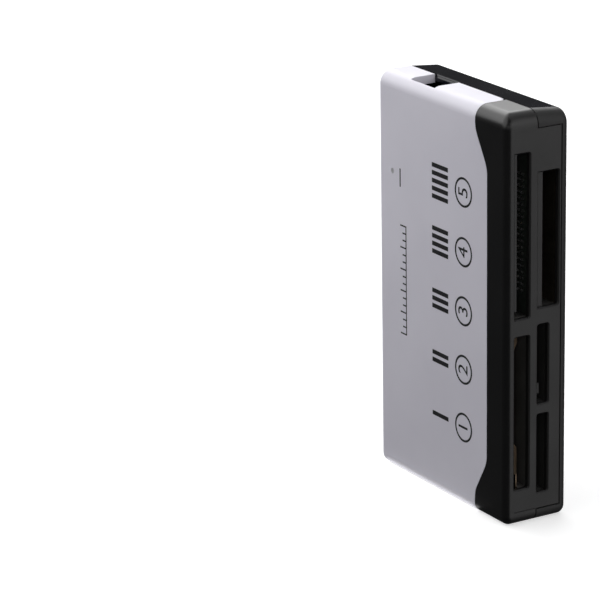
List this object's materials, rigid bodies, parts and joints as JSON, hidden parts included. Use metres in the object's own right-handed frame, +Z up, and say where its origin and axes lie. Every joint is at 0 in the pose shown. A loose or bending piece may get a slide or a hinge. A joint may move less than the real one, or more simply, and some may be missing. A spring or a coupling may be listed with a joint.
{
  "type": "usb memory card reader",
  "caption": "Slim upright card reader with a light cover, a black slot panel down one side for several card sizes, and a plug socket in its top end.",
  "frame": {"origin": "centre of the end that it stands on, at the floor", "axes": "+Z up along its length to the socket end, +X out of the slot face, -Y out of the light face"},
  "size_m": [0.061, 0.0193, 0.1103],
  "materials": {
    "light_plastic": "fine satin moulding",
    "black_plastic": "fine satin moulding",
    "board_laminate": "solder mask over glass fibre",
    "socket_plastic": "matte moulding",
    "tinned_sheet": "tinned sheet",
    "gilt_contact": "gold flash",
    "solder_tin": "solder",
    "chip_resin": "moulded resin",
    "capacitor_ceramic": "ceramic",
    "clear_acrylic": "clear moulding"
  },
  "bodies": {
    "root": {"top_cover": "light_plastic", "front_bezel": "black_plastic", "base_shell": "black_plastic", "main_board": "board_laminate", "usb_socket_insulator": "socket_plastic", "pin_header": "socket_plastic", "combo_socket_base": "socket_plastic", "wide_socket_base": "socket_plastic", "slim_socket_upper": "socket_plastic", "slim_socket_lower": "socket_plastic", "usb_socket_shell": "tinned_sheet", "combo_socket_cover": "tinned_sheet", "wide_socket_cover": "tinned_sheet", "crystal": "tinned_sheet", "usb_contacts": "gilt_contact", "header_pins": "gilt_contact", "combo_contacts": "gilt_contact", "wide_contacts": "gilt_contact", "slim_contacts_upper": "gilt_contact", "slim_contacts_lower": "gilt_contact", "wide_socket_tails": "solder_tin", "chip_leads": "solder_tin", "controller_chip": "chip_resin", "voltage_regulator": "chip_resin", "resistors": "chip_resin", "capacitors": "capacitor_ceramic", "light_pipe": "clear_acrylic", "status_led": "clear_acrylic"}
  },
  "joints": []
}
